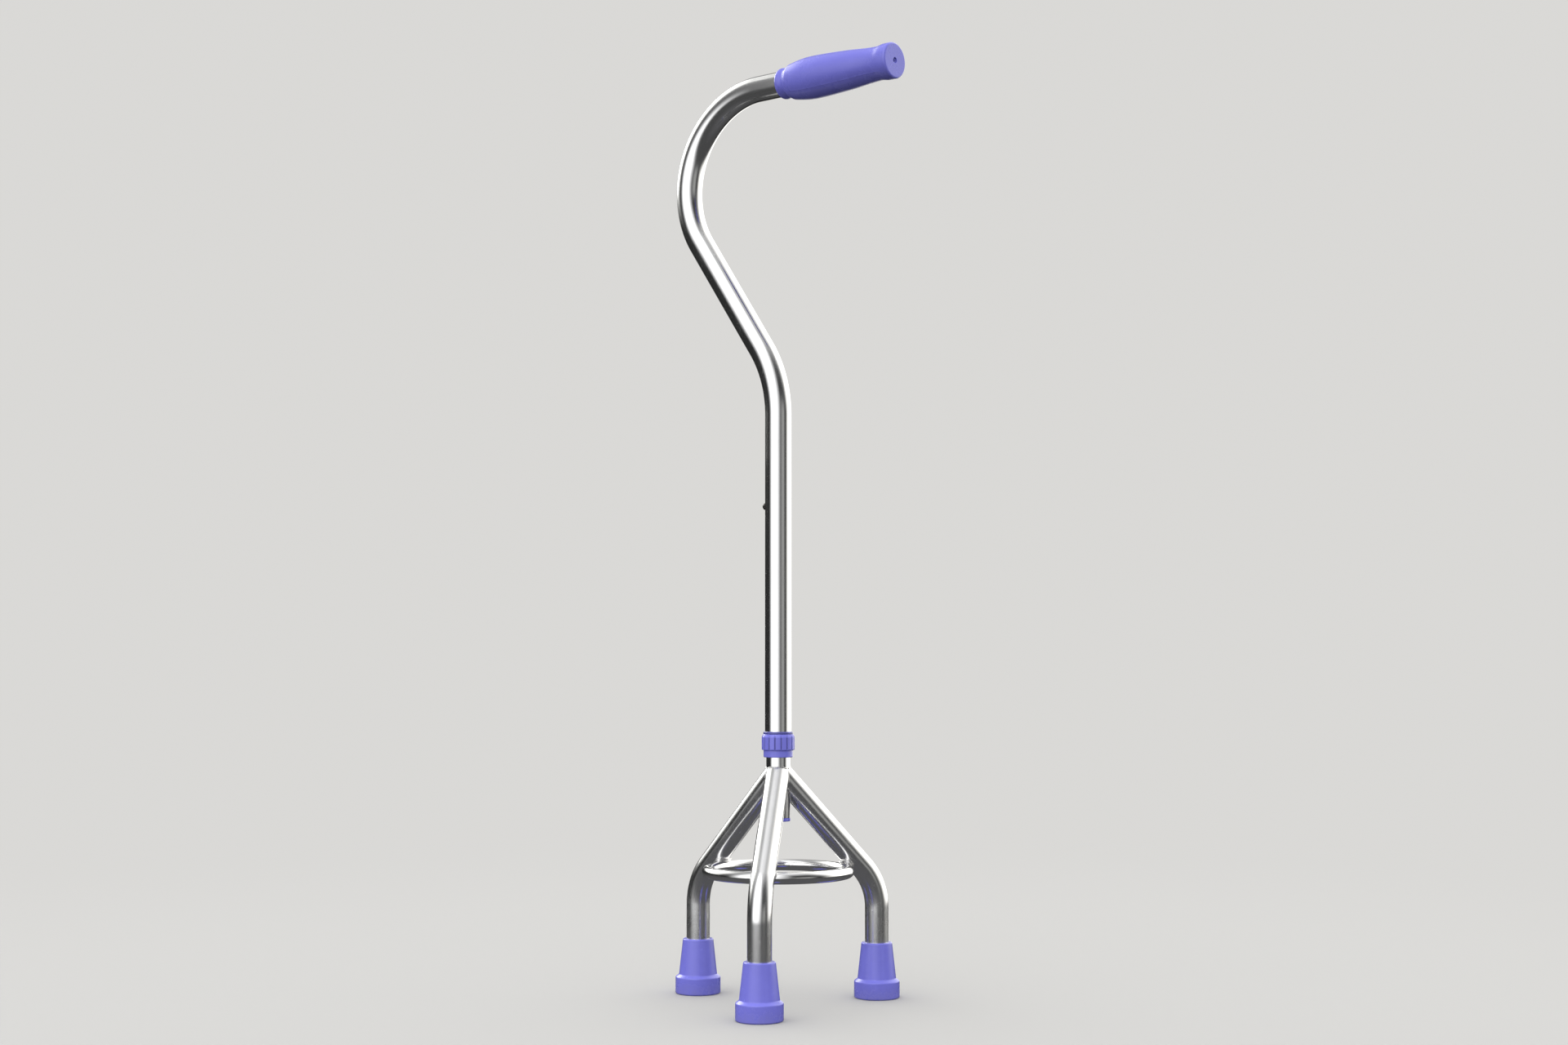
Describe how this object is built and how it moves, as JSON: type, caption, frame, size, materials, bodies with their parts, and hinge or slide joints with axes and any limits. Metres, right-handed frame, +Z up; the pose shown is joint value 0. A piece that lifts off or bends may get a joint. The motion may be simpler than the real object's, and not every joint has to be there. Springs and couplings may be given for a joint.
{
  "type": "walking cane",
  "caption": "Height-adjustable walking cane with a swan-neck handle, contoured grip, locking collar and a footed base braced by a ring.",
  "frame": {"origin": "middle of the whole cane's box at floor level, under the handle's run and close to the post's foot", "axes": "+Z up along the post; +X along the level grip towards its free end; the lone front leg is on the -X side under the neck's bow; +Y across the base"},
  "size_m": [0.2366, 0.1932, 0.7944],
  "materials": {
    "polished_tube": "satin-polished bright tube, drawn lengthwise",
    "polished_leg": "satin-polished bright tube",
    "polished_rod": "polished bright rod",
    "weld_metal": "plated weld bead",
    "washer_steel": "plain zinc-plated steel",
    "dark_steel": "blackened spring steel",
    "grip_rubber": "soft violet-blue moulded grip, satin",
    "foot_rubber": "violet-blue moulded rubber, satin",
    "collar_plastic": "violet-blue moulded plastic, satin",
    "clamp_plastic": "dark moulded nylon"
  },
  "bodies": {
    "base": {"post_tube": "polished_tube", "post_top_cap": "clamp_plastic", "post_end_plug": "collar_plastic", "button_spring": "dark_steel", "brace_ring": "polished_rod", "leg_front": "polished_leg", "hub_weld_front": "weld_metal", "ring_weld_front": "weld_metal", "foot_front": "foot_rubber", "foot_washer_front": "washer_steel", "leg_rear_left": "polished_leg", "hub_weld_rear_left": "weld_metal", "ring_weld_rear_left": "weld_metal", "foot_rear_left": "foot_rubber", "foot_washer_rear_left": "washer_steel", "leg_rear_right": "polished_leg", "hub_weld_rear_right": "weld_metal", "ring_weld_rear_right": "weld_metal", "foot_rear_right": "foot_rubber", "foot_washer_rear_right": "washer_steel"},
    "handle": {"swan_neck_tube": "polished_tube", "hand_grip": "grip_rubber", "collet_sleeve": "collar_plastic", "clamp_ring": "clamp_plastic"},
    "collar": {"locking_collar": "collar_plastic"},
    "button": {"snap_button": "dark_steel"}
  },
  "joints": [
    {"name": "height", "type": "slide", "parent": "base", "child": "handle", "axis": [0, 0, 1], "range_m": [0, 0.1524]},
    {"name": "collar_turn", "type": "hinge", "parent": "handle", "child": "collar", "pos_m": [-0.0057, 0, 0.21385], "axis": [0, 0, -1], "range_deg": [0, 180]},
    {"name": "button_press", "type": "slide", "parent": "base", "child": "button", "axis": [1, 0, 0], "range_m": [0, 0.0062], "stiffness_N_per_m": 1200, "springref_m": -0.003, "deforming": ["button_spring"]}
  ]
}
